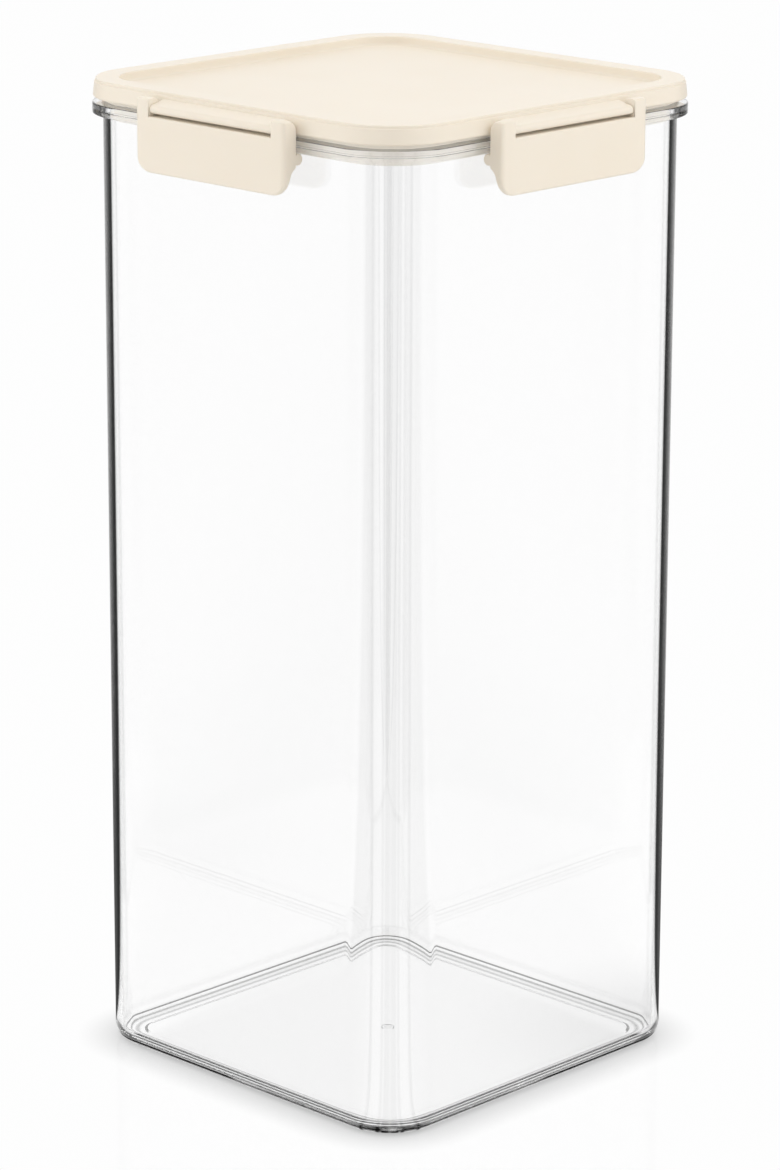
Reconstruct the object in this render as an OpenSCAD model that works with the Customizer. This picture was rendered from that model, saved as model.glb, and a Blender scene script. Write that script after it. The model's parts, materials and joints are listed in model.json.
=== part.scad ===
// Square cereal container with a recessed lid, a sealing ring and four flip latches.
// Millimetres. Z is up, and the origin is the middle of the base.
// "Out" is a distance from the upright axis, square to a side of the body. Each rounded-square
// shape is one profile, drawn in out and height, carried round the same four corner axes.

/* [Container] */
// Outside width of the square body
body_w = 120; // [90:1:180]
// Height of the body, from the table to its rim
body_h = 270.4; // [160:0.2:340]
// Outside radius of the four upright corners
corner_r = 16.5; // [13:0.1:24]
// Thickness of the side walls
wall = 2; // [1.5:0.1:2.6]
// Thickness of the floor
floor_t = 2.5; // [1.8:0.1:4]
// Outside radius where the side meets the base
base_r = 4.3; // [2:0.1:5]
// Inside radius where the wall meets the floor
inner_base_r = 2.8; // [1:0.1:4]
// Width of the ring that the body stands on
foot_w = 5; // [3:0.5:7]
// Height of the base above the table inside that ring
foot_rise = 0.8; // [0.3:0.1:1.2]
// Radius of the gate mark in the middle of the base
gate_mark_r = 2.2; // [1:0.1:4]
// Depth of the gate mark
gate_mark_depth = 0.3; // [0.1:0.1:0.6]

/* [Rim] */
// Distance that the rim flange stands out from the side
flange_out = 2.9; // [1.8:0.1:3.4]
// Height of the rim flange
flange_t = 3.1; // [2:0.1:5]
// Radius of the fine groove round the flange
flange_groove_r = 0.3; // [0.1:0.05:0.5]
// Radius of the flange's edges
flange_edge_r = 0.4; // [0.2:0.05:0.6]

/* [Lid] */
// Distance that the lid's lower edge stands out from the side of the body
lid_out = 2.6; // [1:0.1:3]
// Height of the lid's outer skirt
lid_h = 5.2; // [5:0.1:9]
// Gap between the flange and the skirt, which the sealing ring closes
lid_gap = 1.3; // [0.4:0.1:2]
// Distance that the lid's side leans in towards its top
lid_draft = 0.4; // [0:0.1:0.8]
// Height of the cap on top of the lid's side
cap_h = 0.9; // [0.6:0.1:1.2]
// Distance that the cap is set in from the side
cap_step = 0.3; // [0.1:0.1:0.6]
// Width of the flat rim round the recess
lid_rim_w = 6.5; // [6:0.1:9]
// Depth of the recess in the top
recess_depth = 2.6; // [1:0.1:3.4]
// Radius of the recess's upper edge
recess_edge_r = 0.4; // [0.2:0.05:0.8]
// Radius where the recess's wall meets its floor
recess_r = 0.8; // [0.4:0.05:0.9]
// Thickness of the recessed panel and of the top of the rim
lid_t = 2; // [1.6:0.1:2.6]
// Radius of the lid's outer top edge
lid_edge_r = 0.4; // [0.2:0.05:0.6]
// Radius of the skirt's lower edge
skirt_edge_r = 0.6; // [0.3:0.05:0.9]
// Depth that the locating wall reaches below the rim of the body
plug_depth = 4.6; // [2:0.1:10]
// Thickness of the locating wall
plug_t = 2; // [1.4:0.1:2.4]
// Clearance between the locating wall and the inside of the body
plug_clearance = 0.4; // [0.3:0.05:0.6]

/* [Sealing ring] */
// Width of the ring's section
ring_w = 1.8; // [1.2:0.1:2]
// Radius of the ring's two lower edges
ring_edge_r = 0.4; // [0.2:0.05:0.6]
// Clearance on each side of the ring in its channel
ring_clearance = 0.05; // [0.02:0.01:0.1]

/* [Latch] */
// Width of a latch along its side
latch_w = 56.4; // [40:0.2:62]
// Height of a latch
latch_h = 19.9; // [18:0.1:30]
// Thickness of a latch
latch_t = 4.5; // [3.8:0.1:5]
// Clearance between the flange and the inside face of a latch
latch_clearance = 0.5; // [0.4:0.1:1]
// Distance from the top of the lid down to the top of a latch
latch_drop = 1; // [0.6:0.1:1.2]
// Radius of a latch's two lower corners
latch_corner_r = 5; // [2:0.5:8]
// Radius of a latch's two upright front edges
latch_side_r = 1; // [0.5:0.1:1.5]
// Width of the ear at each end of a latch
ear_w = 5; // [4:0.1:8]
// Thickness of the finger lip along the lower edge
lip_t = 2.2; // [1.4:0.1:2.6]
// Radius of the finger lip's lower edges
lip_edge_r = 0.8; // [0.4:0.1:1]
// Height of the finger lip below the hollow
lip_h = 3.6; // [2.6:0.1:5]
// Radius of the hollow between the hook bead and the finger lip
hollow_r = 4; // [3:0.1:5]
// Radius of the hook bead that catches under the flange
hook_r = 1.6; // [1.2:0.1:2]
// Distance that the hook bead reaches in under the flange
hook_reach = 1.8; // [0.8:0.1:2.2]
// Clearance between the hook bead and the flange
hook_clearance = 0.3; // [0.2:0.05:0.6]

/* [Hinge] */
// Distance from the front of a latch in to its hinge axis
hinge_in = 1.6; // [1.4:0.1:2.2]
// Radius of the round nose of a hinge lug
lug_r = 1.2; // [1.1:0.1:1.6]
// Distance from the top of the lid's side down to the root of a lug
lug_drop = 0.8; // [0.4:0.1:1.4]
// Clearance between a lug and each ear beside it
ear_clearance = 0.2; // [0.2:0.05:0.5]
// Height of the slot between a lug and the latch below it
lug_slot = 0.7; // [0.3:0.05:1]
// Radius of the two stub pins of a latch
pin_r = 0.7; // [0.5:0.05:0.8]
// Length of a stub pin
pin_l = 2; // [1:0.1:4]
// Running clearance round a stub pin
pin_clearance = 0.06; // [0.03:0.01:0.1]

/* [Hidden] */
$fn = 96;

clear_plastic = [0.82, 0.85, 0.86, 0.45];
cream = [0.953, 0.902, 0.812];
silicone = [0.90, 0.90, 0.88];

// Heights
flange_z = body_h - flange_t;
skirt_z = body_h + lid_gap;
lid_top = skirt_z + lid_h;
cap_z = lid_top - cap_h;
recess_z = lid_top - recess_depth;
channel_top = lid_top - lid_t;
plug_z = body_h - plug_depth;

// Distances out from the upright axis
axis_out = body_w / 2 - corner_r;
wall_out = body_w / 2;
wall_in = wall_out - wall;
foot_in = wall_out - base_r - foot_w;
flange_edge = wall_out + flange_out;
lid_edge = wall_out + lid_out;
side_top = lid_edge - lid_draft;
cap_edge = side_top - cap_step;
recess_edge = cap_edge - lid_rim_w;
plug_out = wall_in - plug_clearance;
plug_in = plug_out - plug_t;
channel_out = plug_out + ring_w + 2 * ring_clearance;

// Latch and hinge, seen across a side
latch_inner = flange_edge + latch_clearance;
latch_outer = latch_inner + latch_t;
latch_top = lid_top - latch_drop;
latch_z = latch_top - latch_h;
hinge_out = latch_outer - hinge_in;
ear_r = hinge_out - latch_inner;
hinge_z = latch_top - ear_r;
notch_z = hinge_z - lug_r - lug_slot;
hook_out = flange_edge - hook_reach + hook_r;
hook_z = flange_z - hook_clearance - hook_r;
lip_in = latch_outer - lip_t;
lip_z = latch_z + lip_h;

// Latch and hinge, seen along the side
ear_in = latch_w / 2 - ear_w;
lug_half = ear_in - ear_clearance;
pin_end = ear_in - pin_l;
socket_end = pin_end - ear_clearance;

cut = 1;  // how far a cutting shape runs past what it cuts

// The stretch of a profile beyond a corner axis, moved in so that it starts at that axis
module beyond_axis() {
    intersection() {
        translate([-axis_out, 0]) children();
        translate([0, -cut]) square([body_w, 2 * body_h]);
    }
}

// Carries a profile, drawn in out and height, round the body
module around() {
    for (turn = [0 : 90 : 270]) rotate(turn) translate([axis_out, axis_out]) {
        rotate_extrude(angle = 90) beyond_axis() children();
        rotate([90, 0, 0]) linear_extrude(2 * axis_out) beyond_axis() children();
    }
}

// The plate inside the four corner axes, for a profile that reaches in to them
module middle_plate(z0, z1) {
    translate([-axis_out, -axis_out, z0]) cube([2 * axis_out, 2 * axis_out, z1 - z0]);
}

// A rectangle from one out and height to another
module span(out0, z0, out1, z1) {
    translate([out0, z0]) square([out1 - out0, z1 - z0]);
}

// What rounding takes off a corner. At turn 0 the stock lies outwards and up from the corner.
module corner_cut(out, z, turn, r) {
    translate([out, z]) rotate(turn) difference() {
        translate([-cut, -cut]) square(r + cut);
        translate([r, r]) circle(r);
    }
}

// What a fillet fills in a corner. At turn 0 it fills outwards and up from the corner.
module fillet(out, z, turn, r) {
    translate([out, z]) rotate(turn) difference() {
        square(r);
        translate([r, r]) circle(r);
    }
}

module container_profile() {
    difference() {
        union() {
            span(axis_out, 0, wall_out, body_h);
            span(wall_in, flange_z, flange_edge, body_h);
        }
        corner_cut(wall_out, 0, 90, base_r);
        corner_cut(flange_edge, flange_z, 90, flange_edge_r);
        corner_cut(flange_edge, body_h, 180, flange_edge_r);
        translate([flange_edge, (flange_z + body_h) / 2]) circle(flange_groove_r);
        difference() {
            span(axis_out - cut, floor_t, wall_in, body_h + cut);
            corner_cut(wall_in, floor_t, 90, inner_base_r);
        }
        if (foot_in > axis_out) span(axis_out - cut, -cut, foot_in, foot_rise);
    }
}

module container_body() {
    color(clear_plastic) difference() {
        union() {
            around() container_profile();
            middle_plate(foot_rise, floor_t);
        }
        translate([0, 0, foot_rise - cut]) cylinder(r = gate_mark_r, h = cut + gate_mark_depth);
    }
}

module lid_profile() {
    difference() {
        union() {
            span(axis_out, recess_z - lid_t, recess_edge + recess_r, recess_z);
            span(recess_edge, recess_z - lid_t, plug_out, lid_top);
            span(plug_in, skirt_z, cap_edge, lid_top);
            polygon([[plug_out, skirt_z], [lid_edge, skirt_z], [side_top, cap_z], [plug_out, cap_z]]);
            span(plug_in, plug_z, plug_out, lid_top);
            fillet(recess_edge, recess_z, 90, recess_r);
        }
        corner_cut(recess_edge, lid_top, 270, recess_edge_r);
        corner_cut(cap_edge, lid_top, 180, lid_edge_r);
        corner_cut(lid_edge, skirt_z, 90, skirt_edge_r);
        corner_cut(plug_out, plug_z, 90, skirt_edge_r);
        corner_cut(plug_in, plug_z, 0, skirt_edge_r);
        span(plug_out, skirt_z - cut, channel_out, channel_top);
    }
}

// Extrudes a shape drawn in out and height along a side, with its middle on the front side
module along_side(length) {
    rotate([90, 0, -90]) linear_extrude(length, center = true) children();
}

// The lug that carries a latch, with a blind socket in each end
module hinge_lug() {
    lug_root = channel_out + skirt_edge_r;
    difference() {
        along_side(2 * lug_half) union() {
            translate([hinge_out, hinge_z]) circle(lug_r);
            polygon([
                [lug_root, cap_z - lug_drop],
                [side_top, cap_z - lug_drop],
                [hinge_out, hinge_z + lug_r],
                [hinge_out, hinge_z - lug_r],
                [lug_root, hinge_z - lug_r]
            ]);
        }
        for (side = [-1, 1]) translate([side * (lug_half + socket_end) / 2, -hinge_out, hinge_z])
            rotate([0, side * 90, 0]) translate([0, 0, -(lug_half - socket_end) / 2])
                cylinder(r = pin_r + pin_clearance, h = lug_half - socket_end + cut);
    }
}

module lid() {
    color(cream) union() {
        around() lid_profile();
        middle_plate(recess_z - lid_t, recess_z);
        for (turn = [0 : 90 : 270]) rotate(turn) hinge_lug();
    }
}

module lid_gasket() {
    ring_in = plug_out + ring_clearance;
    ring_out = ring_in + ring_w;
    color(silicone) around() difference() {
        span(ring_in, body_h, ring_out, channel_top);
        corner_cut(ring_in, body_h, 0, ring_edge_r);
        corner_cut(ring_out, body_h, 90, ring_edge_r);
    }
}

// Section of a latch: a panel with a round top, a hook bead and a hollow behind a thinner finger lip
module latch_profile() {
    difference() {
        union() {
            translate([hinge_out, hinge_z]) circle(ear_r);
            span(latch_inner, latch_z, latch_outer, hinge_z);
        }
        span(latch_outer, hinge_z - ear_r, hinge_out + ear_r + cut, latch_top + cut);
        span(latch_inner - cut, latch_z - cut, lip_in, lip_z);
        translate([lip_in - hollow_r, lip_z]) circle(hollow_r);
        corner_cut(lip_in, latch_z, 0, lip_edge_r);
        corner_cut(latch_outer, latch_z, 90, lip_edge_r);
    }
    translate([hook_out, hook_z]) circle(hook_r);
}

// Front view of a latch, in distance along the side and height
module latch_face() {
    half = latch_w / 2;
    difference() {
        translate([-half, latch_z]) square([latch_w, latch_h]);
        corner_cut(-half, latch_z, 0, latch_corner_r);
        corner_cut(half, latch_z, 90, latch_corner_r);
        translate([-ear_in, notch_z]) square([2 * ear_in, latch_h]);
    }
}

// Plan of a latch, in distance along the side and out, from behind the hook to the front
module latch_plan() {
    half = latch_w / 2;
    plan_in = hook_out - hook_r - cut;
    difference() {
        translate([-half, -latch_outer]) square([latch_w, latch_outer - plan_in]);
        corner_cut(-half, -latch_outer, 0, latch_side_r);
        corner_cut(half, -latch_outer, 90, latch_side_r);
    }
}

module latch() {
    color(cream) union() {
        intersection() {
            along_side(latch_w) latch_profile();
            rotate([90, 0, 0]) linear_extrude(latch_outer + cut) latch_face();
            translate([0, 0, latch_z]) linear_extrude(latch_h) latch_plan();
        }
        for (side = [-1, 1]) translate([side * pin_end, -hinge_out, hinge_z])
            rotate([0, side * 90, 0]) cylinder(r = pin_r, h = pin_l + ear_w / 2);
    }
}

module latch_front() {
    latch();
}

module latch_right() {
    rotate(90) latch();
}

module latch_back() {
    rotate(180) latch();
}

module latch_left() {
    rotate(270) latch();
}

container_body();
lid();
lid_gasket();
latch_front();
latch_right();
latch_back();
latch_left();
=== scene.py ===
# Square cereal container: a clear body, a cream lid with its sealing ring, and four cream flip latches.
import json
import math

import bmesh
import bpy
from mathutils import Matrix, Vector


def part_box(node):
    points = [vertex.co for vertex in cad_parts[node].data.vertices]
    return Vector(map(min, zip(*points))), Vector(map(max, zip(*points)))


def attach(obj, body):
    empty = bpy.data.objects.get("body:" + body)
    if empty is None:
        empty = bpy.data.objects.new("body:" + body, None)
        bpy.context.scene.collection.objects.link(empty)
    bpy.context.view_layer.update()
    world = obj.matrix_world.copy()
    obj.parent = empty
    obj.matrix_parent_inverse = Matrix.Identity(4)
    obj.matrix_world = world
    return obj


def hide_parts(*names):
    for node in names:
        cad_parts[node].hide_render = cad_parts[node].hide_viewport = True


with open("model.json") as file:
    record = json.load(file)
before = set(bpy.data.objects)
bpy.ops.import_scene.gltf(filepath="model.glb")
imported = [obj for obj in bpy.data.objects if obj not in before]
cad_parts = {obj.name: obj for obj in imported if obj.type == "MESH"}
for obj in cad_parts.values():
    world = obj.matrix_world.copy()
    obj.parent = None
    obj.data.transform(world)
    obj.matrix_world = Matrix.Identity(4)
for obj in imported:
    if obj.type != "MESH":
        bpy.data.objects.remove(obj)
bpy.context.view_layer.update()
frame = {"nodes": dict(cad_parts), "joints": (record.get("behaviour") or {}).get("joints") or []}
scene = bpy.context.scene
mm = 0.001  # shapes are written in millimetres, Blender works in metres
print("stage: frame loaded")


def hexColour(text):  # an sRGB hex colour as the linear values that shaders take
    shares = [int(text[i:i + 2], 16) / 255 for i in (1, 3, 5)]
    return [s / 12.92 if s <= 0.04045 else ((s + 0.055) / 1.055) ** 2.4 for s in shares] + [1.0]


def addNode(tree, kind, inputs=None, **settings):  # inputs: socket -> a value, or an output to link
    node = tree.nodes.new(kind)
    for name, value in settings.items():
        setattr(node, name, value)
    for socket, value in (inputs or {}).items():
        if isinstance(value, bpy.types.NodeSocket):
            tree.links.new(value, node.inputs[socket])
        else:
            node.inputs[socket].default_value = value
    return node


def arc(out, height, radius, startDeg, endDeg, steps=6):  # points round a centre, in out and height
    angles = [math.radians(startDeg + (endDeg - startDeg) * i / steps) for i in range(steps + 1)]
    return [(out + radius * math.cos(a), height + radius * math.sin(a)) for a in angles]


def withSupports(points, gap=0.3):  # points near the ends of a long straight keep the flat beside it flat
    result = [points[0]]
    for start, end in zip(points, points[1:]):
        a, b = Vector(start), Vector(end)
        length = (b - a).length
        if length > 4 * gap:
            result += [tuple(a.lerp(b, gap / length)), tuple(a.lerp(b, 1 - gap / length))]
        if length > 1e-6:
            result.append(end)
    return result


# The camera, at the fitted viewpoint
cameraView = {"azimuth": 44.295, "elevation": 15.579, "distance": 1230.51, "targetHeight": 133.751,
              "sideShift": 0.354, "rollDeg": 0.189, "lens": 135.32}


def makeCamera(v):
    azimuth, elevation, roll = (math.radians(v[key]) for key in ("azimuth", "elevation", "rollDeg"))
    right = Vector((math.cos(azimuth), math.sin(azimuth), 0))
    back = Vector((math.sin(azimuth) * math.cos(elevation), -math.cos(azimuth) * math.cos(elevation),
                   math.sin(elevation)))
    up = back.cross(right)
    place = Vector((0, 0, v["targetHeight"])) + right * v["sideShift"] + back * v["distance"]
    rolledRight = right * math.cos(roll) + up * math.sin(roll)
    rolledUp = up * math.cos(roll) - right * math.sin(roll)
    data = bpy.data.cameras.new("camera")
    data.sensor_width = 36
    data.lens = v["lens"]
    data.clip_start = 0.05
    data.clip_end = 60
    camera = bpy.data.objects.new("camera", data)
    camera.matrix_world = Matrix.Translation(place * mm) @ Matrix(
        (rolledRight, rolledUp, back)).transposed().to_4x4()
    scene.collection.objects.link(camera)
    scene.camera = camera


makeCamera(cameraView)
print("stage: camera placed")


# Clear copolyester, injection moulded in a polished mould: clear as glass, with the faintest flow ripple and
# smudges in its gloss, and a second sheen from the coat
def clearCopolyester():
    look = {"colour": "#FFFFFF", "ior": 1.57, "coat": 0.75,
            "smudgeMm": 18, "smudgeFrom": 0.45, "smudgeTo": 0.75, "roughLow": 0.0, "roughHigh": 0.006,
            "rippleMm": 45, "rippleStrength": 0.1, "rippleDepthMm": 0.02,
            "edgeFrom": 0.4, "shadowFacing": 0.98, "shadowEdge": 0.85}
    material = bpy.data.materials.new("clear_copolyester")
    material.use_nodes = True
    tree = material.node_tree
    tree.nodes.clear()
    place = addNode(tree, "ShaderNodeTexCoord")
    smudge = addNode(tree, "ShaderNodeTexNoise",
                     {"Vector": place.outputs["Object"], "Scale": 1 / (look["smudgeMm"] * mm), "Detail": 3.0})
    roughness = addNode(tree, "ShaderNodeMapRange",
                        {"Value": smudge.outputs["Fac"],
                         "From Min": look["smudgeFrom"], "From Max": look["smudgeTo"],
                         "To Min": look["roughLow"], "To Max": look["roughHigh"]})
    ripple = addNode(tree, "ShaderNodeTexNoise",
                     {"Vector": place.outputs["Object"], "Scale": 1 / (look["rippleMm"] * mm), "Detail": 1.0})
    bump = addNode(tree, "ShaderNodeBump",
                   {"Height": ripple.outputs["Fac"], "Strength": look["rippleStrength"],
                    "Distance": look["rippleDepthMm"] * mm})
    plastic = addNode(tree, "ShaderNodeBsdfPrincipled",
                      {"Base Color": hexColour(look["colour"]), "Roughness": roughness.outputs[0],
                       "IOR": look["ior"], "Transmission Weight": 1.0, "Coat Weight": look["coat"],
                       "Normal": bump.outputs[0]})
    # lamps reach through it, less so where they graze a wall
    facing = addNode(tree, "ShaderNodeLayerWeight", {"Blend": 0.5})
    shade = addNode(tree, "ShaderNodeMapRange",
                    {"Value": facing.outputs["Facing"], "From Min": look["edgeFrom"],
                     "To Min": look["shadowFacing"], "To Max": look["shadowEdge"]})
    through = addNode(tree, "ShaderNodeBsdfTransparent", {"Color": shade.outputs[0]})
    path = addNode(tree, "ShaderNodeLightPath")
    soft = addNode(tree, "ShaderNodeMath",
                   {0: path.outputs["Is Shadow Ray"], 1: path.outputs["Is Diffuse Ray"]}, operation="MAXIMUM")
    both = addNode(tree, "ShaderNodeMixShader",
                   {0: soft.outputs[0], 1: plastic.outputs[0], 2: through.outputs[0]})
    addNode(tree, "ShaderNodeOutputMaterial", {"Surface": both.outputs[0]})
    return material


# Cream polypropylene, injection moulded in a satin mould: soft broad highlights over a fine grain, drawn a
# few times coarser than the real one so that it shows. Below a given height in millimetres it is painted
# paler:
# painted light, standing in for light that reaches it through clear plastic.
def creamPolypropylene(name, paintedLightBelow=None):
    look = {"colour": "#F4EDE1", "shadeColour": "#F1E8D9", "driftMm": 30,
            "paintedLightColour": "#FFFDF8", "paintedLightFade": 0.2,
            "ior": 1.49, "rough": 0.36, "roughSpread": 0.05,
            "grainMm": 0.35, "grainStrength": 0.12, "grainDepthMm": 0.02,
            "translucence": 0.06, "reach": (1.0, 0.7, 0.45), "reachMm": 1.2}
    material = bpy.data.materials.new(name)
    material.use_nodes = True
    tree = material.node_tree
    tree.nodes.clear()
    place = addNode(tree, "ShaderNodeTexCoord")
    drift = addNode(tree, "ShaderNodeTexNoise",
                    {"Vector": place.outputs["Object"], "Scale": 1 / (look["driftMm"] * mm), "Detail": 2.0})
    colour = addNode(tree, "ShaderNodeMix",
                     {0: drift.outputs["Fac"], 6: hexColour(look["colour"]),
                      7: hexColour(look["shadeColour"])}, data_type="RGBA")
    # painted light: paler below the given height, for light reaching it through clear plastic
    if paintedLightBelow:
        height = addNode(tree, "ShaderNodeSeparateXYZ", {0: place.outputs["Object"]}).outputs["Z"]
        pale = addNode(tree, "ShaderNodeMapRange",
                       {"Value": height, "From Min": (paintedLightBelow + look["paintedLightFade"]) * mm,
                        "From Max": paintedLightBelow * mm})
        colour = addNode(tree, "ShaderNodeMix", {0: pale.outputs[0], 6: colour.outputs[2],
                                                 7: hexColour(look["paintedLightColour"])}, data_type="RGBA")
    grain = addNode(tree, "ShaderNodeTexNoise",
                    {"Vector": place.outputs["Object"], "Scale": 1 / (look["grainMm"] * mm), "Detail": 2.0})
    roughness = addNode(tree, "ShaderNodeMapRange",
                        {"Value": grain.outputs["Fac"], "To Min": look["rough"] - look["roughSpread"],
                         "To Max": look["rough"] + look["roughSpread"]})
    bump = addNode(tree, "ShaderNodeBump",
                   {"Height": grain.outputs["Fac"], "Strength": look["grainStrength"],
                    "Distance": look["grainDepthMm"] * mm})
    plastic = addNode(tree, "ShaderNodeBsdfPrincipled",
                      {"Base Color": colour.outputs[2], "Roughness": roughness.outputs[0], "IOR": look["ior"],
                       "Subsurface Weight": look["translucence"], "Subsurface Radius": look["reach"],
                       "Subsurface Scale": look["reachMm"] * mm, "Normal": bump.outputs[0]})
    addNode(tree, "ShaderNodeOutputMaterial", {"Surface": plastic.outputs[0]})
    return material


# Milky silicone rubber, compression moulded: matt, with light that sinks a little way in
def milkySilicone():
    look = {"colour": "#EDE8DF", "ior": 1.41, "rough": 0.5, "roughSpread": 0.06,
            "grainMm": 0.5, "grainStrength": 0.2, "grainDepthMm": 0.03,
            "translucence": 0.3, "reach": (1.0, 0.95, 0.85), "reachMm": 1.0}
    material = bpy.data.materials.new("milky_silicone")
    material.use_nodes = True
    tree = material.node_tree
    tree.nodes.clear()
    place = addNode(tree, "ShaderNodeTexCoord")
    grain = addNode(tree, "ShaderNodeTexNoise",
                    {"Vector": place.outputs["Object"], "Scale": 1 / (look["grainMm"] * mm), "Detail": 2.0})
    roughness = addNode(tree, "ShaderNodeMapRange",
                        {"Value": grain.outputs["Fac"], "To Min": look["rough"] - look["roughSpread"],
                         "To Max": look["rough"] + look["roughSpread"]})
    bump = addNode(tree, "ShaderNodeBump",
                   {"Height": grain.outputs["Fac"], "Strength": look["grainStrength"],
                    "Distance": look["grainDepthMm"] * mm})
    rubber = addNode(tree, "ShaderNodeBsdfPrincipled",
                     {"Base Color": hexColour(look["colour"]), "Roughness": roughness.outputs[0],
                      "IOR": look["ior"], "Subsurface Weight": look["translucence"],
                      "Subsurface Radius": look["reach"], "Subsurface Scale": look["reachMm"] * mm,
                      "Normal": bump.outputs[0]})
    addNode(tree, "ShaderNodeOutputMaterial", {"Surface": rubber.outputs[0]})
    return material


clearPlastic = clearCopolyester()
creamPlastic = creamPolypropylene("cream_polypropylene")
silicone = milkySilicone()
print("stage: materials made")


# Geometry nodes that carry a profile round the body. The profile is a chain of points: x is out, z is height.
def carryTree():
    tree = bpy.data.node_groups.new("carryRound", "GeometryNodeTree")
    socket = tree.interface.new_socket
    socket(name="Profile", in_out="INPUT", socket_type="NodeSocketGeometry")
    for name, kind in (("Corner Axis", "NodeSocketFloat"), ("Corner Steps", "NodeSocketInt"),
                       ("Side Steps", "NodeSocketInt"), ("Round Within", "NodeSocketFloat"),
                       ("Square Beyond", "NodeSocketFloat"), ("Material", "NodeSocketMaterial")):
        socket(name=name, in_out="INPUT", socket_type=kind)
    socket(name="Mesh", in_out="OUTPUT", socket_type="NodeSocketGeometry")
    given = addNode(tree, "NodeGroupInput").outputs

    # a grid of perimeter steps by profile points, with the first step repeated at the end
    count = addNode(tree, "GeometryNodeAttributeDomainSize", {0: given["Profile"]}, component="MESH")
    points = count.outputs["Point Count"]
    quarter = addNode(tree, "ShaderNodeMath", {0: given["Corner Steps"], 1: given["Side Steps"]},
                      operation="ADD")
    around = addNode(tree, "ShaderNodeMath", {0: quarter.outputs[0], 1: 4.0, 2: 1.0},
                     operation="MULTIPLY_ADD")
    grid = addNode(tree, "GeometryNodeMeshGrid", {"Vertices X": around.outputs[0], "Vertices Y": points})
    index = addNode(tree, "GeometryNodeInputIndex")
    ratio = addNode(tree, "ShaderNodeMath", {0: index.outputs[0], 1: points}, operation="DIVIDE")
    step = addNode(tree, "ShaderNodeMath", {0: ratio.outputs[0]}, operation="FLOOR")
    place = addNode(tree, "ShaderNodeMath", {0: index.outputs[0], 1: points}, operation="MODULO")
    here = addNode(tree, "GeometryNodeInputPosition")
    sample = addNode(tree, "GeometryNodeSampleIndex",
                     {"Geometry": given["Profile"], "Value": here.outputs[0], "Index": place.outputs[0]},
                     data_type="FLOAT_VECTOR", domain="POINT")
    profile = addNode(tree, "ShaderNodeSeparateXYZ", {0: sample.outputs[0]}).outputs

    # which quarter turn a step is in, how far round its corner and how far along the side after it
    turnRatio = addNode(tree, "ShaderNodeMath", {0: step.outputs[0], 1: quarter.outputs[0]},
                        operation="DIVIDE")
    turn = addNode(tree, "ShaderNodeMath", {0: turnRatio.outputs[0]}, operation="FLOOR")
    within = addNode(tree, "ShaderNodeMath", {0: step.outputs[0], 1: quarter.outputs[0]}, operation="MODULO")
    cornerShare = addNode(tree, "ShaderNodeMath", {0: within.outputs[0], 1: given["Corner Steps"]},
                          operation="DIVIDE")
    cornerShare = addNode(tree, "ShaderNodeMath", {0: cornerShare.outputs[0], 1: 1.0}, operation="MINIMUM")
    angle = addNode(tree, "ShaderNodeMath", {0: cornerShare.outputs[0], 1: math.pi / 2}, operation="MULTIPLY")
    past = addNode(tree, "ShaderNodeMath", {0: within.outputs[0], 1: given["Corner Steps"]},
                   operation="SUBTRACT")
    past = addNode(tree, "ShaderNodeMath", {0: past.outputs[0], 1: 0.0}, operation="MAXIMUM")
    sideShare = addNode(tree, "ShaderNodeMath", {0: past.outputs[0], 1: given["Side Steps"]},
                        operation="DIVIDE")
    sideAngle = addNode(tree, "ShaderNodeMath", {0: sideShare.outputs[0], 1: math.pi}, operation="MULTIPLY")
    # a side's steps crowd at its ends
    along = addNode(tree, "ShaderNodeMath", {0: sideAngle.outputs[0]}, operation="COSINE")

    # the corner axis square, and the way out from it
    alongOut = addNode(tree, "ShaderNodeMath", {0: along.outputs[0], 1: given["Corner Axis"]},
                       operation="MULTIPLY")
    square = addNode(tree, "ShaderNodeCombineXYZ", {0: alongOut.outputs[0], 1: given["Corner Axis"]})
    wayX = addNode(tree, "ShaderNodeMath", {0: angle.outputs[0]}, operation="COSINE")
    wayY = addNode(tree, "ShaderNodeMath", {0: angle.outputs[0]}, operation="SINE")
    way = addNode(tree, "ShaderNodeCombineXYZ", {0: wayX.outputs[0], 1: wayY.outputs[0]})
    reach = addNode(tree, "ShaderNodeMath", {0: profile["X"], 1: given["Corner Axis"]}, operation="SUBTRACT")
    reachOut = addNode(tree, "ShaderNodeMath", {0: reach.outputs[0], 1: 0.0}, operation="MAXIMUM")
    outer = addNode(tree, "ShaderNodeVectorMath",
                    {0: way.outputs[0], 1: reachOut.outputs[0], 2: square.outputs[0]},
                    operation="MULTIPLY_ADD")

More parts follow.
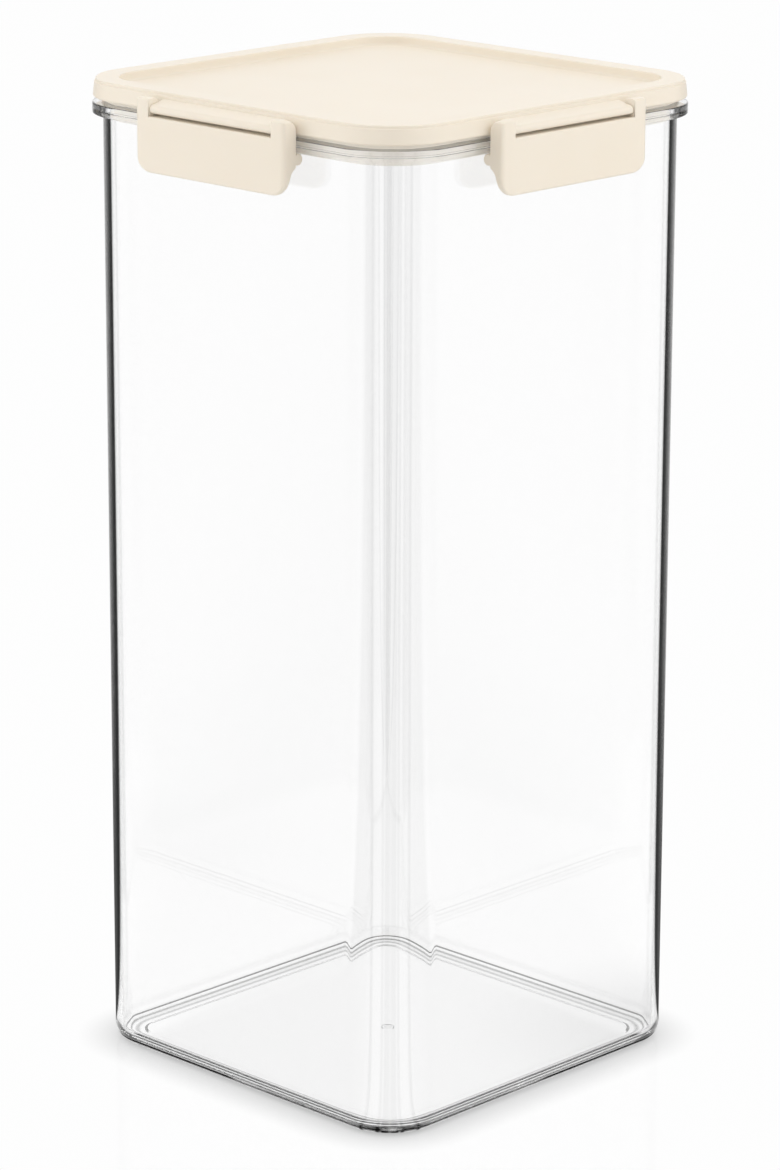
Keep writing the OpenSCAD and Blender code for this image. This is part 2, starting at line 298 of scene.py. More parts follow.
    # inside that square the rings shrink, and turn round near the middle
    share = addNode(tree, "ShaderNodeMath", {0: profile["X"], 1: given["Corner Axis"]}, operation="DIVIDE")
    share = addNode(tree, "ShaderNodeMath", {0: share.outputs[0], 1: 1.0}, operation="MINIMUM")
    shrunk = addNode(tree, "ShaderNodeVectorMath", {0: outer.outputs[0], "Scale": share.outputs[0]},
                     operation="SCALE")
    unit = addNode(tree, "ShaderNodeVectorMath", {0: square.outputs[0]}, operation="NORMALIZE")
    ring = addNode(tree, "ShaderNodeVectorMath", {0: unit.outputs[0], "Scale": profile["X"]},
                   operation="SCALE")
    squareness = addNode(tree, "ShaderNodeMapRange",
                         {"Value": profile["X"], "From Min": given["Round Within"],
                          "From Max": given["Square Beyond"]}, interpolation_type="SMOOTHSTEP")
    flat = addNode(tree, "ShaderNodeMix",
                   {0: squareness.outputs[0], 4: ring.outputs[0], 5: shrunk.outputs[0]}, data_type="VECTOR")
    turnAngle = addNode(tree, "ShaderNodeMath", {0: turn.outputs[0], 1: math.pi / 2}, operation="MULTIPLY")
    turned = addNode(tree, "ShaderNodeVectorRotate",
                     {"Vector": flat.outputs[1], "Angle": turnAngle.outputs[0]}, rotation_type="Z_AXIS")
    split = addNode(tree, "ShaderNodeSeparateXYZ", {0: turned.outputs[0]}).outputs
    final = addNode(tree, "ShaderNodeCombineXYZ", {0: split["X"], 1: split["Y"], 2: profile["Z"]})
    moved = addNode(tree, "GeometryNodeSetPosition",
                    {"Geometry": grid.outputs["Mesh"], "Position": final.outputs[0]})
    merged = addNode(tree, "GeometryNodeMergeByDistance",
                     {"Geometry": moved.outputs[0], "Distance": 0.001 * mm})
    smooth = addNode(tree, "GeometryNodeSetShadeSmooth", {"Geometry": merged.outputs[0]})
    real = addNode(tree, "GeometryNodeRealizeInstances", {"Geometry": smooth.outputs[0]})
    painted = addNode(tree, "GeometryNodeSetMaterial",
                      {"Geometry": real.outputs[0], "Material": given["Material"]})
    addNode(tree, "NodeGroupOutput", {"Mesh": painted.outputs[0]})
    return tree


carryRound = carryTree()


def makeObject(name, vertices, edges=(), faces=()):
    mesh = bpy.data.meshes.new(name)
    mesh.from_pydata([Vector(v) * mm for v in vertices], list(edges), list(faces))
    piece = bpy.data.objects.new(name, mesh)
    scene.collection.objects.link(piece)
    return piece


# Edges turned by more than these degrees are creases, on pieces straight from a profile and on joined ones
profileCrease, joinedCrease = 40, 32


def sharpenOver(mesh, degrees):
    mesh.shade_smooth()
    mesh.set_sharp_from_angle(angle=math.radians(degrees))


# Rings of a flat are round within this many millimetres of the middle, and square past the second value
flatRings = {"roundWithin": 6, "squareBeyond": 30}


def carried(name, profile, material, cornerAxis, cornerSteps=32, sideSteps=16):
    points = withSupports(profile)
    chain = makeObject(name + "_profile", [(out, 0, height) for out, height in points],
                       edges=[(i, i + 1) for i in range(len(points) - 1)])
    modifier = chain.modifiers.new("carry", "NODES")
    modifier.node_group = carryRound
    values = {"Corner Axis": cornerAxis * mm, "Corner Steps": cornerSteps, "Side Steps": sideSteps,
              "Round Within": flatRings["roundWithin"] * mm, "Square Beyond": flatRings["squareBeyond"] * mm,
              "Material": material}
    for item in carryRound.interface.items_tree:
        if item.in_out == "INPUT" and item.name in values:
            modifier[item.identifier] = values[item.name]
    bpy.context.view_layer.update()
    finished = chain.evaluated_get(bpy.context.evaluated_depsgraph_get())
    mesh = bpy.data.meshes.new_from_object(finished)
    chain.modifiers.remove(modifier)
    bpy.data.objects.remove(chain)
    mesh.name = name
    mesh.materials.clear()
    mesh.materials.append(material)
    mesh.polygons.foreach_set("material_index", [0] * len(mesh.polygons))
    sharpenOver(mesh, profileCrease)
    piece = bpy.data.objects.new(name, mesh)
    scene.collection.objects.link(piece)
    return piece


# The clear body: a rounded square tub with a rounded base edge, a raised base and a grooved rim flange
body = {"flangeOut": 2.9, "flangeHeight": 3.1, "flangeEdge": 0.4, "groove": 0.3, "wall": 2.0, "floor": 2.5,
        "cornerRadius": 16.5, "baseRadius": 4.3, "innerBaseRadius": 2.8, "footWidth": 4.8, "footRise": 0.8,
        "footSlope": 0.8, "gateRadius": 2.2, "gateDepth": 0.3, "gateSlope": 0.2, "gateRing": 0.7,
        "gateRingWidth": 0.5, "gateRingHeight": 0.12, "gateRingSlope": 0.1, "underFlange": 0.3,
        "rimEdge": 0.25, "floorRing": 20}
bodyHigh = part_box("container_body")[1]
rimHeight = bodyHigh.z / mm
flangeOut = bodyHigh.x / mm
sideOut = flangeOut - body["flangeOut"]
cornerAxis = sideOut - body["cornerRadius"]


def bodyProfile(b):
    wallIn = sideOut - b["wall"]
    flangeLow = rimHeight - b["flangeHeight"]
    footIn = sideOut - b["baseRadius"] - b["footWidth"]
    edge, groove, middle = b["flangeEdge"], b["groove"], rimHeight - b["flangeHeight"] / 2
    gateTop = b["footRise"] + b["gateDepth"]
    ringIn, ringOut, ringSlope = b["gateRing"], b["gateRing"] + b["gateRingWidth"], b["gateRingSlope"]
    ringLow, flare = gateTop - b["gateRingHeight"], b["underFlange"]
    gate = [(0, gateTop), (ringIn, gateTop), (ringIn + ringSlope, ringLow), (ringOut - ringSlope, ringLow),
            (ringOut, gateTop), (b["gateRadius"] - b["gateSlope"], gateTop), (b["gateRadius"], b["footRise"])]
    foot = [(footIn - b["footSlope"], b["footRise"]), (footIn, 0)]
    outside = arc(sideOut - b["baseRadius"], b["baseRadius"], b["baseRadius"], -90, 0, 10)
    flange = (arc(sideOut + flare, flangeLow - flare, flare, 180, 90, 4)
              + arc(flangeOut - edge, flangeLow + edge, edge, -90, 0)
              + arc(flangeOut, middle, groove, -90, -270, 8)
              + arc(flangeOut - edge, rimHeight - edge, edge, 0, 90)
              + arc(wallIn + b["rimEdge"], rimHeight - b["rimEdge"], b["rimEdge"], 90, 180, 4))
    inner = b["innerBaseRadius"]
    inside = arc(wallIn - inner, b["floor"] + inner, inner, 0, -90, 10)
    return gate + foot + outside + flange + inside + [(b["floorRing"], b["floor"]), (0, b["floor"])]


containerBody = carried("container_body_clear", bodyProfile(body), clearPlastic, cornerAxis)
print("stage: body made,", len(containerBody.data.polygons), "faces")


# The lid: a low cap with a flat rim round a shallow recess, a side that leans in, a channel for the ring, and
# a wall that locates it in the body
lid = {"out": 2.6, "height": 5.2, "draft": 0.4, "cap": 0.9, "capStep": 0.3, "rimWidth": 6.5, "recess": 2.6,
       "recessEdge": 0.35, "recessFoot": 0.8, "topEdge": 0.4, "sideEdge": 0.15, "skirtEdge": 0.6,
       "innerEdge": 0.3, "ledge": 0.1, "thick": 2.0, "plugWall": 2.0, "plugGap": 0.4, "channel": 1.9,
       "panelRing": 25}
lidLow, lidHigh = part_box("lid")
lidTop, plugLow = lidHigh.z / mm, lidLow.z / mm
lidOut = sideOut + lid["out"]
sideTop, capLow = lidOut - lid["draft"], lidTop - lid["cap"]
capOut = sideTop - lid["capStep"]
plugOut = sideOut - body["wall"] - lid["plugGap"]


def lidProfile(p):
    skirtLow = lidTop - p["height"]
    panelTop = lidTop - p["recess"]
    panelLow = panelTop - p["thick"]
    recessOut = capOut - p["rimWidth"]
    plugIn = plugOut - p["plugWall"]
    channelOut = plugOut + p["channel"]
    channelTop = lidTop - p["thick"]
    edge, small, crisp, ledge = p["skirtEdge"], p["innerEdge"], p["sideEdge"], p["ledge"]
    under = ([(0, panelLow), (p["panelRing"], panelLow)]
             + arc(plugIn - small, panelLow - small, small, 90, 0, 4))
    plug = (arc(plugIn + edge, plugLow + edge, edge, 180, 270)
            + arc(plugOut - edge, plugLow + edge, edge, 270, 360)
            + [(plugOut, channelTop), (channelOut, channelTop)]
            + arc(channelOut + small, skirtLow + small, small, 180, 270, 4))
    lean = math.degrees(math.atan2(p["draft"], capLow - skirtLow))
    skirt = (arc(lidOut - edge, skirtLow + edge, edge, 270, 360 + lean, 8)
             + arc(sideTop - crisp, capLow - crisp, crisp, lean, 90, 4)
             + [(capOut + ledge, capLow), (capOut, capLow + ledge)]
             + arc(capOut - p["topEdge"], lidTop - p["topEdge"], p["topEdge"], 0, 90, 8))
    recess = arc(recessOut + p["recessEdge"], lidTop - p["recessEdge"], p["recessEdge"], 90, 180, 8) + arc(
        recessOut - p["recessFoot"], panelTop + p["recessFoot"], p["recessFoot"], 0, -90, 8)
    return under + plug + skirt + recess + [(p["panelRing"], panelTop), (0, panelTop)]


# the locating wall is painted paler below the rim, painted light standing in for light that reaches it
# through the clear flange, so that it doesn't tint that flange
lidPlastic = creamPolypropylene("cream_polypropylene_painted_light_plug", paintedLightBelow=rimHeight)
lidShell = carried("lid_shell", lidProfile(lid), lidPlastic, cornerAxis)
print("stage: lid made,", len(lidShell.data.polygons), "faces")


# The sealing ring: a plain strip in the lid's channel, rounded where it meets the rim
ring = {"width": 1.8, "side": 0.05, "edge": 0.4}


def ringProfile(r):
    inner, outer, edge = plugOut + r["side"], plugOut + r["side"] + r["width"], r["edge"]
    top = lidTop - lid["thick"]
    low = (arc(inner + edge, rimHeight + edge, edge, 180, 270)
           + arc(outer - edge, rimHeight + edge, edge, 270, 360))
    return low + [(outer, top), (inner, top), low[0]]


gasket = carried("lid_gasket_ring", ringProfile(ring), silicone, cornerAxis)
print("stage: sealing ring made")


# Closed rings of points, station by station along a side, skinned and capped at both ends
def skin(name, rings, material):
    count = len(rings[0])
    vertices = [point for line in rings for point in line]
    faces = [tuple(range(count)), tuple((len(rings) - 1) * count + i for i in reversed(range(count)))]
    for station in range(len(rings) - 1):
        for i in range(count):
            a, b = station * count + i, station * count + (i + 1) % count
            faces.append((b, a, a + count, b + count))
    piece = makeObject(name, vertices, faces=faces)
    work = bmesh.new()
    work.from_mesh(piece.data)
    bmesh.ops.remove_doubles(work, verts=work.verts, dist=0.002 * mm)
    bmesh.ops.recalc_face_normals(work, faces=work.faces)
    work.to_mesh(piece.data)
    work.free()
    piece.data.materials.append(material)
    return piece


def combine(piece, others, operation):  # an exact boolean, applied, after which the other pieces are removed
    for other in others:
        modifier = piece.modifiers.new("join", "BOOLEAN")
        modifier.operation = operation
        modifier.solver = "EXACT"
        modifier.object = other
        bpy.context.view_layer.update()
        mesh = bpy.data.meshes.new_from_object(piece.evaluated_get(bpy.context.evaluated_depsgraph_get()))
        piece.modifiers.remove(modifier)
        piece.data = mesh
        bpy.data.objects.remove(other)
    return piece


def rod(name, radius, start, end, out, height, material, steps=40):  # a plain round rod along a side
    circle = arc(out, height, radius, 0, 360, steps)[:-1]
    return skin(name, [[(x, o, z) for o, z in circle] for x in (start, end)], material)


def toSide(piece, turn):  # from along-side, out and height to its own side of the body
    front = Matrix(((1, 0, 0, 0), (0, -1, 0, 0), (0, 0, 1, 0), (0, 0, 0, 1)))
    piece.data.transform(Matrix.Rotation(math.radians(turn), 4, "Z") @ front)
    piece.data.flip_normals()
    return piece


# The hinge and the latch sizes that the frame gives
latchLow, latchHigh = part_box("latch_front")
latchHalf = latchHigh.x / mm
latchOuter = -latchLow.y / mm
latchTop, latchFoot = latchHigh.z / mm, latchLow.z / mm
hookTip = -latchHigh.y / mm
hinge = next(j for j in frame["joints"] if j["name"] == "front_latch_hinge")
hingeOut, hingeHeight = -hinge["pos_m"][1] / mm, hinge["pos_m"][2] / mm
earRadius = latchTop - hingeHeight
latchInner = hingeOut - earRadius

# The hinge lug, one on each side of the lid: a sloping top, a round nose and a blind socket in each end
lug = {"nose": 1.2, "drop": 0.8, "root": 2.0, "earGap": 0.2, "socket": 0.76, "socketDepth": 2.2,
       "endRound": 0.15}

# A latch: two ears on stub pins, a hook bead behind, and a hollow behind a thinner finger lip
latch = {"earWidth": 5.0, "footCorner": 5.0, "lipThick": 2.2, "lipEdge": 0.8, "lipHeight": 3.6, "hollow": 4.0,
         "hook": 1.6, "hookGap": 0.3, "slot": 0.7, "pin": 0.7, "pinLength": 2.0, "shoulder": 1.5,
         "endRound": 1.5, "frontRound": 1.0, "backRound": 0.25, "earRound": 0.2, "earFront": 0.45,
         "notchRound": 0.35, "notchRise": 0.3, "cornerSteps": [1.8, 2.2, 2.7, 3.3, 3.9],
         "middleSteps": [1, 0.985, 0.6, 0.2]}
earIn = latchHalf - latch["earWidth"]
notchHeight = hingeHeight - lug["nose"] - latch["slot"]
lugHalf = earIn - lug["earGap"]


def lugSection(p, inset):  # its top runs from under the lid's upper edge to the round nose
    top = Vector((sideTop - hingeOut, capLow - p["drop"] - hingeHeight))
    slope = math.degrees(math.atan2(top.y, top.x) - math.acos(p["nose"] / top.length))
    nose = arc(hingeOut, hingeHeight, p["nose"] - inset, slope, -90, 16)
    root, high, low = lidOut - p["root"], capLow - p["drop"] - inset, hingeHeight - p["nose"] + inset
    return [(root, high), (sideTop, high)] + nose + [(root, low)]


def makeLug(name, p):
    r = p["endRound"]
    stations = [(lugHalf - r + r * math.sin(a), r - r * math.cos(a)) for a in
                (math.radians(d) for d in range(0, 91, 15))]
    stations = [(-x, inset) for x, inset in reversed(stations)] + stations
    piece = skin(name, [[(x, o, z) for o, z in lugSection(p, inset)] for x, inset in stations], creamPlastic)
    sockets = [rod(name + "_socket", p["socket"], side * (lugHalf - p["socketDepth"]), side * (lugHalf + 1),
                   hingeOut, hingeHeight, creamPlastic) for side in (-1, 1)]
    return combine(piece, sockets, "DIFFERENCE")


def latchSection(p, front, back, lift, top):  # one ring of a latch: how far its front, back and foot draw in
    outer, inner = latchOuter - front, latchInner + back
    shoulder, foot, lipTop = notchHeight - p["shoulder"], latchFoot + lift, latchFoot + p["lipHeight"]
    bead = (hookTip + p["hook"], rimHeight - body["flangeHeight"] - p["hookGap"] - p["hook"])
    beadRadius = p["hook"] - back
    beadTurn = math.degrees(math.acos((inner - bead[0]) / beadRadius))
    hollowOut, hollowRadius = latchOuter - p["lipThick"] - p["hollow"], p["hollow"] + back
    hollowTurn = math.degrees(math.acos((inner - hollowOut) / hollowRadius))
    edge = p["lipEdge"] - front / 4
    hollowLow = max(lipTop, foot + edge + 0.1)
    hollowEnd = math.degrees(math.asin((hollowLow - lipTop) / hollowRadius))
    lipIn = hollowOut + hollowRadius * math.cos(math.radians(hollowEnd))
    edge = min(edge, (outer - lipIn) / 2 - 0.01)
    rise = [(outer, foot + edge + (shoulder - foot - edge) * i / 6) for i in range(1, 7)]
    hook = arc(*bead, beadRadius, beadTurn, 360 - beadTurn, 24)
    hollow = arc(hollowOut, lipTop, hollowRadius, hollowTurn, hollowEnd, 12)
    lip = [(lipIn, (hollowLow + foot + edge) / 2)]
    low = arc(lipIn + edge, foot + edge, edge, 180, 270) + arc(outer - edge, foot + edge, edge, 270, 360)
    return rise + top + [(inner, shoulder)] + hook + hollow + lip + low


def earTop(p, front, back, drop, cornerFront, cornerBack):  # an ear's top: round, with a flat front
    outer, inner, radius, edge = latchOuter - front, latchInner + back, earRadius - drop, p["earFront"]
    across = outer - edge - hingeOut
    turn = math.degrees(math.acos(across / (radius - edge)))
    dome = arc(outer - edge, hingeHeight + (radius - edge) * math.sin(math.radians(turn)), edge, 0, turn, 5)
    dome += arc(hingeOut, hingeHeight, radius, turn, 90, 5)[1:]
    dome += [(hingeOut - (hingeOut - inner) * math.sin(a), hingeHeight + radius * math.cos(a))
             for a in (math.radians(90 * i / 10) for i in range(1, 11))]
    low, high = notchHeight - p["notchRound"], notchHeight + p["notchRise"]
    return ([(latchOuter - cornerFront, low), (outer, high)] + dome
            + [(inner, high), (latchInner + cornerBack, low)])


def notchTop(p):  # the flat top of the panel between the ears, in as many points as an ear's top
    r = p["notchRound"]
    flat = [(latchOuter - r - (latchOuter - latchInner - 2 * r) * i / 16, notchHeight) for i in range(1, 16)]
    return (arc(latchOuter - r, notchHeight - r, r, 0, 90, 4) + flat
            + arc(latchInner + r, notchHeight - r, r, 90, 180, 4))


def roundIn(depth, reach, distance):  # how far an elliptical edge draws in at a distance from the end
    return depth * (1 - math.sqrt(max(0, 1 - max(0, 1 - distance / reach) ** 2)))


def makeLatch(name, p, turn):
    steps = [p["endRound"] * (1 - math.cos(math.radians(d))) for d in range(0, 91, 9)]
    steps += p["cornerSteps"]
    rings = []
    for distance in steps:
        front = roundIn(p["frontRound"], p["endRound"], distance)
        back = roundIn(p["backRound"], p["backRound"] * 2, distance)
        top = earTop(p, front, back, 0.7 * front, front, back)
        lift = roundIn(p["footCorner"], p["footCorner"], distance)
        rings.append((latchHalf - distance, latchSection(p, front, back, lift, top)))
    for d in (0, 30, 60, 90):
        draw = p["earRound"] * (1 - math.cos(math.radians(d)))
        x = earIn + p["earRound"] * (1 - math.sin(math.radians(d)))
        lift = roundIn(p["footCorner"], p["footCorner"], latchHalf - x)
        rings.append((x, latchSection(p, 0, 0, lift, earTop(p, draw, draw, draw, 0, 0))))
    for share in p["middleSteps"]:
        rings.append((earIn * share, latchSection(p, 0, 0, 0, notchTop(p))))
    rings = [(-x, line) for x, line in rings] + [(x, line) for x, line in reversed(rings)]
    piece = skin(name, [[(x, o, z) for o, z in line] for x, line in rings], creamPlastic)
    pins = [rod(name + "_pin", p["pin"], side * (earIn - p["pinLength"]), side * (earIn + p["earWidth"] / 2),
                hingeOut, hingeHeight, creamPlastic) for side in (-1, 1)]
    combine(piece, pins, "UNION")
    toSide(piece, turn)
    sharpenOver(piece.data, joinedCrease)
    return piece


lugs = [toSide(makeLug("hinge_lug", lug), turn) for turn in (0, 90, 180, 270)]
lidPiece = combine(lidShell, lugs, "UNION")
lidPiece.name = "lid_satin"
sharpenOver(lidPiece.data, joinedCrease)
print("stage: lugs joined to the lid,", len(lidPiece.data.polygons), "faces")
sides = {"front": 0, "right": 90, "back": 180, "left": 270}
latches = {side: makeLatch("latch_" + side + "_satin", latch, turn) for side, turn in sides.items()}
print("stage: latches made,", len(latches["front"].data.polygons), "faces each")


# Each piece rides on its body and stands for its node, which is hidden
def dress(piece, bodyName, node):
    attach(piece, bodyName)
    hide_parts(node)


dress(containerBody, "container", "container_body")
dress(lidPiece, "lid", "lid")
dress(gasket, "lid", "lid_gasket")
for side, piece in latches.items():
    dress(piece, side + "_latch", "latch_" + side)
for name, node in frame["nodes"].items():  # hidden nodes carry the same finishes
    node.data.materials.clear()
    node.data.materials.append(clearPlastic if name == "container_body" else
                               silicone if name == "lid_gasket" else creamPlastic)
print("stage: pieces dressed")


# Dark cards round the studio, as shares of white by degrees from a start azimuth, the same on both sides of
# it. "front" is met by all that has been mirrored: a few narrow cards near the start, and a wide one further
# round. "edges" is met by light that clear plastic has turned inside its walls, which draws its edges dark.
# It is the same in front and behind, so its span is a right angle.
cards = {"front": {"start": -45.7, "span": 180,
                   "shares": [(0, 0.4), (3, 0.0), (9, 0.0), (11, 0.8), (13, 0.1), (15, 0.1), (18, 1.0),
                              (30, 1.0), (33, 0.1), (35, 0.1), (38, 1.0), (42, 1.0), (44.3, 0.85), (46, 1.0),
                              (60, 0.8), (80, 0.8), (88, 1.0), (114, 1.0), (118, 0.08), (128, 0.08),
                              (135, 0.15), (142, 0.3), (151, 0.45), (165, 1.0)]},
         "edges": {"start": -45.7, "span": 90,
                   "shares": [(0, 0.4), (15, 0.34), (28, 0.26), (36, 0.1), (42, 0.05), (46, 0.012),
                              (49, 0.01), (56, 0.8), (60, 1.0)]}}


def addRamp(tree, value, span, shares):  # shares of white by value, from nought to a span
    part = addNode(tree, "ShaderNodeMath", {0: value, 1: span}, operation="DIVIDE")
    ramp = addNode(tree, "ShaderNodeValToRGB", {0: part.outputs[0]})
    points = ramp.color_ramp.elements
    for i, (place, share) in enumerate(shares):
        point = points[i] if i < 2 else points.new(place / span)
        point.position, point.color = place / span, (share, share, share, 1)
    return ramp.outputs[0]


def cardShare(tree, direction, card):  # how white the studio is in a direction
    split = addNode(tree, "ShaderNodeSeparateXYZ", {0: direction}).outputs
    azimuth = addNode(tree, "ShaderNodeMath", {0: split["Y"], 1: split["X"]}, operation="ARCTAN2")
    turned = addNode(tree, "ShaderNodeMath", {0: azimuth.outputs[0], 1: math.radians(card["start"])},
                     operation="SUBTRACT")
    folded = addNode(tree, "ShaderNodeMath", {0: turned.outputs[0], 1: math.radians(card["span"])},
                     operation="PINGPONG")
    return addRamp(tree, folded.outputs[0], math.radians(card["span"]),
                   [(math.radians(angle), share) for angle, share in card["shares"]])


# Past the first wall it takes two inside reflections to turn a ray, so a far wall's plain sheen stays bright
def trappedLight(tree, path):
    beyond = addNode(tree, "ShaderNodeMath", {0: path.outputs["Transmission Depth"], 1: 2.5},
                     operation="GREATER_THAN")
    turns = addNode(tree, "ShaderNodeMath", {0: path.outputs["Glossy Depth"], 1: beyond.outputs[0]},
                    operation="SUBTRACT")
    turned = addNode(tree, "ShaderNodeMath", {0: turns.outputs[0], 1: 0.5}, operation="GREATER_THAN")
    inside = addNode(tree, "ShaderNodeMath", {0: path.outputs["Transmission Depth"], 1: 1.5},
                     operation="GREATER_THAN")
    return addNode(tree, "ShaderNodeMath", {0: turned.outputs[0], 1: inside.outputs[0]}, operation="MULTIPLY")


def seenLight(tree, path):  # rays that find a white studio: straight, mirrored or through clear plastic
    seen = addNode(tree, "ShaderNodeMath",
                   {0: path.outputs["Is Camera Ray"], 1: path.outputs["Is Glossy Ray"]}, operation="MAXIMUM")
    return addNode(tree, "ShaderNodeMath", {0: seen.outputs[0], 1: path.outputs["Is Transmission Ray"]},
                   operation="MAXIMUM")


def studioWhite(tree, path, direction):  # white, but for the front cards in what has been mirrored
    mirrored = addNode(tree, "ShaderNodeMath", {0: path.outputs["Glossy Depth"], 1: 0.5},
                       operation="GREATER_THAN")
    drop = addNode(tree, "ShaderNodeMath", {0: cardShare(tree, direction, cards["front"]), 1: 1.0},
                   operation="SUBTRACT")
    return addNode(tree, "ShaderNodeMath", {0: drop.outputs[0], 1: mirrored.outputs[0], 2: 1.0},
                   operation="MULTIPLY_ADD").outputs[0]


# The floor: white, with a soft contact shadow and a faint mirror. Seen through the container it has a painted
# pale grey shadow round one corner and thin painted grey shade lines round the foot. The shade lines and
# "under", painted dark lines, are shares of white by distance in millimetres past the square of the corner
# axes, and "near" and
# "beneath" are distances past it too.
floorLook = {"size": 9000, "low": 0.02, "colour": "#FFFFFF", "rough": 0.3, "ior": 1.3, "mirror": 0.06,
             "mirrorRough": 0.05, "contact": 12, "contactDark": 0.48,
             "near": 20, "beneath": 15, "rampEnd": 20,
             "under": [(8.5, 1.0), (9.3, 0.14), (10.6, 0.14), (11.4, 1.0), (12.2, 1.0), (12.9, 0.1),
                       (13.7, 0.1), (14.4, 1.0)],
             "paintedShadeLines": [(8.6, 1.0), (9.3, 0.3), (9.7, 0.3), (10.4, 1.0), (11.2, 1.0), (11.8, 0.15),
                       (12.3, 0.15), (12.9, 1.0), (14.9, 1.0), (15.5, 0.0), (16.1, 0.0), (16.7, 1.0)],
             "paintedShadow": {"place": (62, 62, 0), "reach": 75, "share": 0.8}}


def makeFloor(f):
    half, low = f["size"] / 2, -f["low"]
    corners = [(-half, -half, low), (half, -half, low), (half, half, low), (-half, half, low)]
    floor = makeObject("floor", corners, faces=[(0, 1, 2, 3)])
    material = bpy.data.materials.new("pale_floor")
    material.use_nodes = True
    tree = material.node_tree
    tree.nodes.clear()
    place = addNode(tree, "ShaderNodeTexCoord").outputs["Object"]
    path = addNode(tree, "ShaderNodeLightPath")

    # directions and distances are from the square of the corner axes
    corner = Vector((cornerAxis, cornerAxis, 0)) * mm
    inner = addNode(tree, "ShaderNodeVectorMath", {0: place, 1: -corner}, operation="MAXIMUM")
    inner = addNode(tree, "ShaderNodeVectorMath", {0: inner.outputs[0], 1: corner}, operation="MINIMUM")
    past = addNode(tree, "ShaderNodeVectorMath", {0: place, 1: inner.outputs[0]}, operation="SUBTRACT")
    past = past.outputs[0]
    out = addNode(tree, "ShaderNodeVectorMath", {0: past}, operation="LENGTH").outputs["Value"]

    # light mirrored inside the container finds no card behind it or close by
    within = addNode(tree, "ShaderNodeMath", {0: path.outputs["Transmission Depth"], 1: 0.5},
                     operation="GREATER_THAN")
    behind = addNode(tree, "ShaderNodeVectorMath", {0: place, 1: (-1, 1, 0)}, operation="DOT_PRODUCT")
    behind = addNode(tree, "ShaderNodeMath", {0: behind.outputs["Value"], 1: 0.0}, operation="GREATER_THAN")
    near = addNode(tree, "ShaderNodeMath", {0: out, 1: f["near"] * mm}, operation="LESS_THAN")
    clear = addNode(tree, "ShaderNodeMath", {0: near.outputs[0], 1: behind.outputs[0]}, operation="MAXIMUM")
    clear = addNode(tree, "ShaderNodeMath", {0: clear.outputs[0], 1: within.outputs[0]}, operation="MULTIPLY")
    white = addNode(tree, "ShaderNodeMath", {0: studioWhite(tree, path, past), 1: clear.outputs[0]},
                    operation="MAXIMUM").outputs[0]

    # the contact shadow is for the eye; the painted shadow round one corner and the painted shade lines are
    # for what is seen through plastic
    contact = addNode(tree, "ShaderNodeAmbientOcclusion", {"Distance": f["contact"] * mm}, samples=8)
    away = addNode(tree, "ShaderNodeVectorMath", {0: place, 1: Vector(f["paintedShadow"]["place"]) * mm},
                   operation="DISTANCE")
    paintedShadow = addNode(tree, "ShaderNodeMapRange",
                   {"Value": away.outputs["Value"], "From Max": f["paintedShadow"]["reach"] * mm,
                    "To Min": f["paintedShadow"]["share"]}, interpolation_type="SMOOTHSTEP")
    paintedShadeLines = addRamp(tree, out, f["rampEnd"] * mm, [(distance * mm, share) for distance, share in f["paintedShadeLines"]])
    paintedShadow = addNode(tree, "ShaderNodeMath", {0: paintedShadow.outputs[0], 1: paintedShadeLines}, operation="MULTIPLY")
    contact = addNode(tree, "ShaderNodeMapRange",
                      {"Value": contact.outputs["AO"], "To Min": f["contactDark"]})
    shade = addNode(tree, "ShaderNodeMix",
                    {0: path.outputs["Is Camera Ray"], 2: paintedShadow.outputs[0], 3: contact.outputs[0]})
    strength = addNode(tree, "ShaderNodeMath", {0: white, 1: shade.outputs[0]}, operation="MULTIPLY")
    bright = addNode(tree, "ShaderNodeEmission", {"Strength": strength.outputs[0]})
    surface = addNode(tree, "ShaderNodeBsdfPrincipled",
                      {"Base Color": hexColour(f["colour"]), "Roughness": f["rough"], "IOR": f["ior"]})
    pale = addNode(tree, "ShaderNodeMixShader",
                   {0: seenLight(tree, path).outputs[0], 1: surface.outputs[0], 2: bright.outputs[0]})
    mirror = addNode(tree, "ShaderNodeBsdfAnisotropic", {"Roughness": f["mirrorRough"]})
    faint = addNode(tree, "ShaderNodeMath", {0: path.outputs["Is Camera Ray"], 1: f["mirror"]},
                    operation="MULTIPLY")
    pale = addNode(tree, "ShaderNodeMixShader",
                   {0: faint.outputs[0], 1: pale.outputs[0], 2: mirror.outputs[0]})

    # light turned inside the base meets two painted dark shade lines under its rounding, and the cards
    # further out
    under = addRamp(tree, out, f["rampEnd"] * mm, [(distance * mm, share) for distance, share in f["under"]])
    beneath = addNode(tree, "ShaderNodeMath", {0: out, 1: f["beneath"] * mm}, operation="LESS_THAN")
    turned = addNode(tree, "ShaderNodeMix",
                     {0: beneath.outputs[0], 2: cardShare(tree, past, cards["edges"]), 3: under})
    edges = addNode(tree, "ShaderNodeEmission", {"Strength": turned.outputs[0]})
    both = addNode(tree, "ShaderNodeMixShader",
                   {0: trappedLight(tree, path).outputs[0], 1: pale.outputs[0], 2: edges.outputs[0]})
    addNode(tree, "ShaderNodeOutputMaterial", {"Surface": both.outputs[0]})
    floor.data.materials.append(material)


makeFloor(floorLook)


# The world: white to the eye and in clear plastic, and a soft even fill for everything else. "clearFrom" and
# "clearTo" are the heights of a direction between which the cards end for light turned inside the walls.
worldLook = {"fill": 0.72, "fillColour": "#FFFBF5", "clearFrom": 0.2, "clearTo": 0.35}


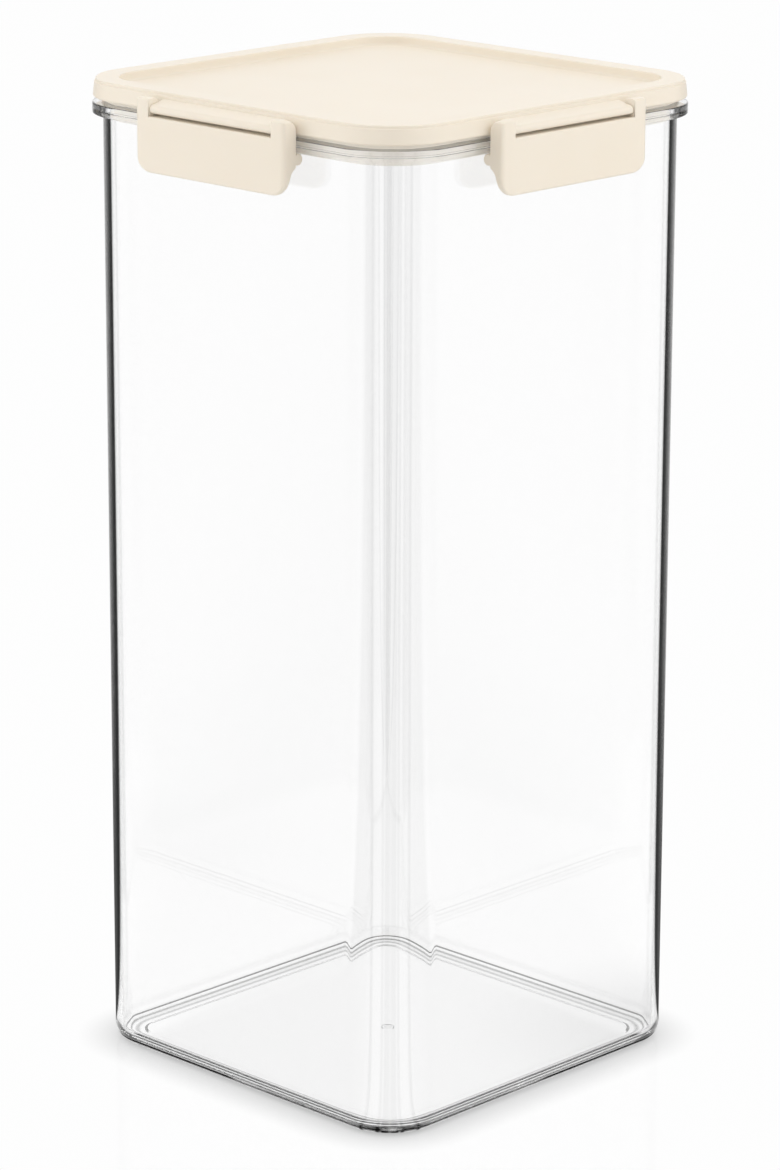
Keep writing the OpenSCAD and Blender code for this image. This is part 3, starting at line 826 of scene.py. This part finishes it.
def makeWorld(w):
    world = bpy.data.worlds.new("studio")
    scene.world = world
    world.use_nodes = True
    tree = world.node_tree
    tree.nodes.clear()
    path = addNode(tree, "ShaderNodeLightPath")
    direction = addNode(tree, "ShaderNodeTexCoord").outputs["Generated"]
    fill = addNode(tree, "ShaderNodeBackground", {"Color": hexColour(w["fillColour"]), "Strength": w["fill"]})
    white = addNode(tree, "ShaderNodeBackground", {"Color": hexColour("#FFFFFF"),
                                                   "Strength": studioWhite(tree, path, direction)})
    height = addNode(tree, "ShaderNodeSeparateXYZ", {0: direction}).outputs["Z"]
    above = addNode(tree, "ShaderNodeMapRange",
                    {"Value": height, "From Min": w["clearFrom"], "From Max": w["clearTo"]})
    turned = addNode(tree, "ShaderNodeMath",
                     {0: cardShare(tree, direction, cards["edges"]), 1: above.outputs[0]},
                     operation="MAXIMUM")
    edges = addNode(tree, "ShaderNodeBackground",
                    {"Color": hexColour("#FFFFFF"), "Strength": turned.outputs[0]})
    both = addNode(tree, "ShaderNodeMixShader",
                   {0: seenLight(tree, path).outputs[0], 1: fill.outputs[0], 2: white.outputs[0]})
    both = addNode(tree, "ShaderNodeMixShader",
                   {0: trappedLight(tree, path).outputs[0], 1: both.outputs[0], 2: edges.outputs[0]})
    addNode(tree, "ShaderNodeOutputWorld", {"Surface": both.outputs[0]})


makeWorld(worldLook)

# Soft boxes: place and aim in millimetres, size, and power in watts
lamps = {"left_box": {"place": (-700, -900, 600), "aim": (0, 0, 150), "size": 700, "power": 3.4},
         "right_box": {"place": (800, 300, 700), "aim": (0, 0, 150), "size": 700, "power": 2.4},
         "top_box": {"place": (0, 0, 1300), "aim": (0, 0, 0), "size": 900, "power": 2}}


def makeLamp(name, p):
    data = bpy.data.lights.new(name, "AREA")
    data.shape = "SQUARE"
    data.size = p["size"] * mm
    data.energy = p["power"]
    lamp = bpy.data.objects.new(name, data)
    place, aim = Vector(p["place"]) * mm, Vector(p["aim"]) * mm
    turn = (aim - place).to_track_quat("-Z", "Y").to_matrix().to_4x4()
    lamp.matrix_world = Matrix.Translation(place) @ turn
    lamp.visible_glossy = False
    lamp.visible_transmission = False
    scene.collection.objects.link(lamp)


for name, values in lamps.items():
    makeLamp(name, values)
scene.view_settings.view_transform = "Standard"
scene.cycles.glossy_bounces = 12  # light turns many times inside the clear base and flange
print("stage: floor, world and lamps placed")
